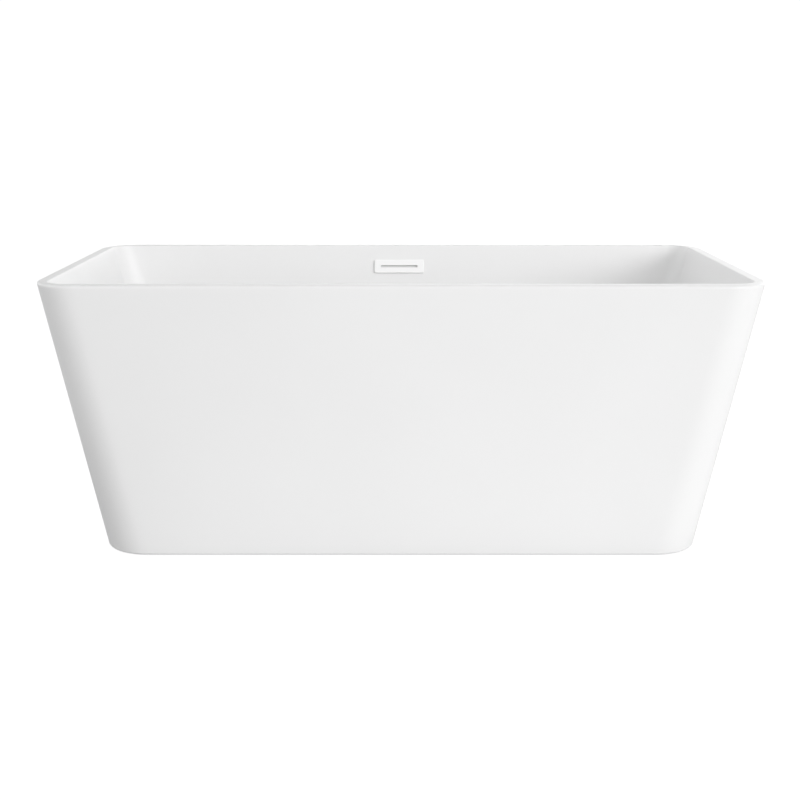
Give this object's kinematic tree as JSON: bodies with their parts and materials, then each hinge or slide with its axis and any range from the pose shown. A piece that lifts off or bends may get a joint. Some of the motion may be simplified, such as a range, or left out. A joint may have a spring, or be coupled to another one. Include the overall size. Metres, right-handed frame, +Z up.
{
  "type": "freestanding bathtub",
  "caption": "Rectangular freestanding double-wall bathtub with tapering sides, rounded corners, slotted overflow, pop-up waste and levelling feet.",
  "frame": {"origin": "on the floor under the middle of the tub", "axes": "+X along the length, -Y to the front (the overflow is in the back wall, at +Y), +Z up"},
  "size_m": [1.5, 0.75, 0.6],
  "materials": {
    "white_acrylic": "gloss cast acrylic",
    "white_trim": "gloss moulded plastic",
    "joint_adhesive": "cured adhesive, matt",
    "glass_fibre": "rough resin-bonded glass fibre",
    "plywood": "raw plywood",
    "galvanised_steel": "zinc plated, satin",
    "stainless_steel": "satin",
    "black_rubber": "matt",
    "chrome": "polished",
    "white_pipework": "moulded, satin",
    "grey_hose": "corrugated hose, satin"
  },
  "bodies": {
    "root": {"inner_shell": "white_acrylic", "outer_shell": "white_acrylic", "overflow_cover": "white_trim", "rim_joint_strip": "joint_adhesive", "basin_laminate": "glass_fibre", "base_board": "plywood", "rail_front": "galvanised_steel", "rail_back": "galvanised_steel", "cross_rail_left": "galvanised_steel", "cross_rail_centre": "galvanised_steel", "cross_rail_right": "galvanised_steel", "skirt_bracket_left_front": "galvanised_steel", "skirt_bracket_left_back": "galvanised_steel", "skirt_bracket_right_front": "galvanised_steel", "skirt_bracket_right_back": "galvanised_steel", "foot_lock_nut_front_left": "galvanised_steel", "foot_lock_nut_front_right": "galvanised_steel", "foot_lock_nut_back_left": "galvanised_steel", "foot_lock_nut_back_right": "galvanised_steel", "foot_lock_nut_centre": "galvanised_steel", "board_screw_front_1": "stainless_steel", "board_screw_front_2": "stainless_steel", "board_screw_front_3": "stainless_steel", "board_screw_back_1": "stainless_steel", "board_screw_back_2": "stainless_steel", "board_screw_back_3": "stainless_steel", "bracket_screw_left_front": "stainless_steel", "bracket_screw_left_back": "stainless_steel", "bracket_screw_right_front": "stainless_steel", "bracket_screw_right_back": "stainless_steel", "overflow_screw_left": "stainless_steel", "overflow_screw_right": "stainless_steel", "drain_upper_gasket": "black_rubber", "drain_lower_gasket": "black_rubber", "tail_pipe_washer": "black_rubber", "overflow_gasket": "black_rubber", "drain_flange": "chrome", "drain_lock_nut": "white_pipework", "drain_tee": "white_pipework", "tail_pipe_nut": "white_pipework", "tail_pipe": "white_pipework", "plug_cartridge": "white_pipework", "overflow_body": "white_pipework", "hose_nut_upper": "white_pipework", "hose_nut_lower": "white_pipework", "overflow_hose": "grey_hose"},
    "plug": {"plug_cap": "white_trim", "plug_seal": "black_rubber", "plug_stem": "stainless_steel"},
    "foot_front_left": {"foot_pad_front_left": "black_rubber"},
    "stud_front_left": {"foot_stud_front_left": "galvanised_steel"},
    "foot_front_right": {"foot_pad_front_right": "black_rubber"},
    "stud_front_right": {"foot_stud_front_right": "galvanised_steel"},
    "foot_back_left": {"foot_pad_back_left": "black_rubber"},
    "stud_back_left": {"foot_stud_back_left": "galvanised_steel"},
    "foot_back_right": {"foot_pad_back_right": "black_rubber"},
    "stud_back_right": {"foot_stud_back_right": "galvanised_steel"},
    "foot_centre": {"foot_pad_centre": "black_rubber"},
    "stud_centre": {"foot_stud_centre": "galvanised_steel"}
  },
  "joints": [
    {"name": "plug_lift", "type": "slide", "parent": "root", "child": "plug", "axis": [0, 0, 1], "range_m": [0, 0.009]},
    {"name": "foot_front_left_height", "type": "slide", "parent": "root", "child": "foot_front_left", "axis": [0, 0, -1], "range_m": [-0.00175, 0.015]},
    {"name": "foot_front_left_turn", "type": "hinge", "parent": "foot_front_left", "child": "stud_front_left", "pos_m": [-0.48, -0.15, 0.07], "axis": [0, 0, -1], "range_deg": [-361, 3090]},
    {"name": "foot_front_right_height", "type": "slide", "parent": "root", "child": "foot_front_right", "axis": [0, 0, -1], "range_m": [-0.00175, 0.015]},
    {"name": "foot_front_right_turn", "type": "hinge", "parent": "foot_front_right", "child": "stud_front_right", "pos_m": [0.48, -0.15, 0.07], "axis": [0, 0, -1], "range_deg": [-361, 3090]},
    {"name": "foot_back_left_height", "type": "slide", "parent": "root", "child": "foot_back_left", "axis": [0, 0, -1], "range_m": [-0.00175, 0.015]},
    {"name": "foot_back_left_turn", "type": "hinge", "parent": "foot_back_left", "child": "stud_back_left", "pos_m": [-0.48, 0.15, 0.07], "axis": [0, 0, -1], "range_deg": [-361, 3090]},
    {"name": "foot_back_right_height", "type": "slide", "parent": "root", "child": "foot_back_right", "axis": [0, 0, -1], "range_m": [-0.00175, 0.015]},
    {"name": "foot_back_right_turn", "type": "hinge", "parent": "foot_back_right", "child": "stud_back_right", "pos_m": [0.48, 0.15, 0.07], "axis": [0, 0, -1], "range_deg": [-361, 3090]},
    {"name": "foot_centre_height", "type": "slide", "parent": "root", "child": "foot_centre", "axis": [0, 0, -1], "range_m": [-0.00175, 0.015]},
    {"name": "foot_centre_turn", "type": "hinge", "parent": "foot_centre", "child": "stud_centre", "pos_m": [-0.13, 0, 0.07], "axis": [0, 0, -1], "range_deg": [-361, 3090]}
  ],
  "couplings": [
    {"joint": "foot_front_left_turn", "follows": "foot_front_left_height", "rad_per_m": 3590.4},
    {"joint": "foot_front_right_turn", "follows": "foot_front_right_height", "rad_per_m": 3590.4},
    {"joint": "foot_back_left_turn", "follows": "foot_back_left_height", "rad_per_m": 3590.4},
    {"joint": "foot_back_right_turn", "follows": "foot_back_right_height", "rad_per_m": 3590.4},
    {"joint": "foot_centre_turn", "follows": "foot_centre_height", "rad_per_m": 3590.4}
  ]
}
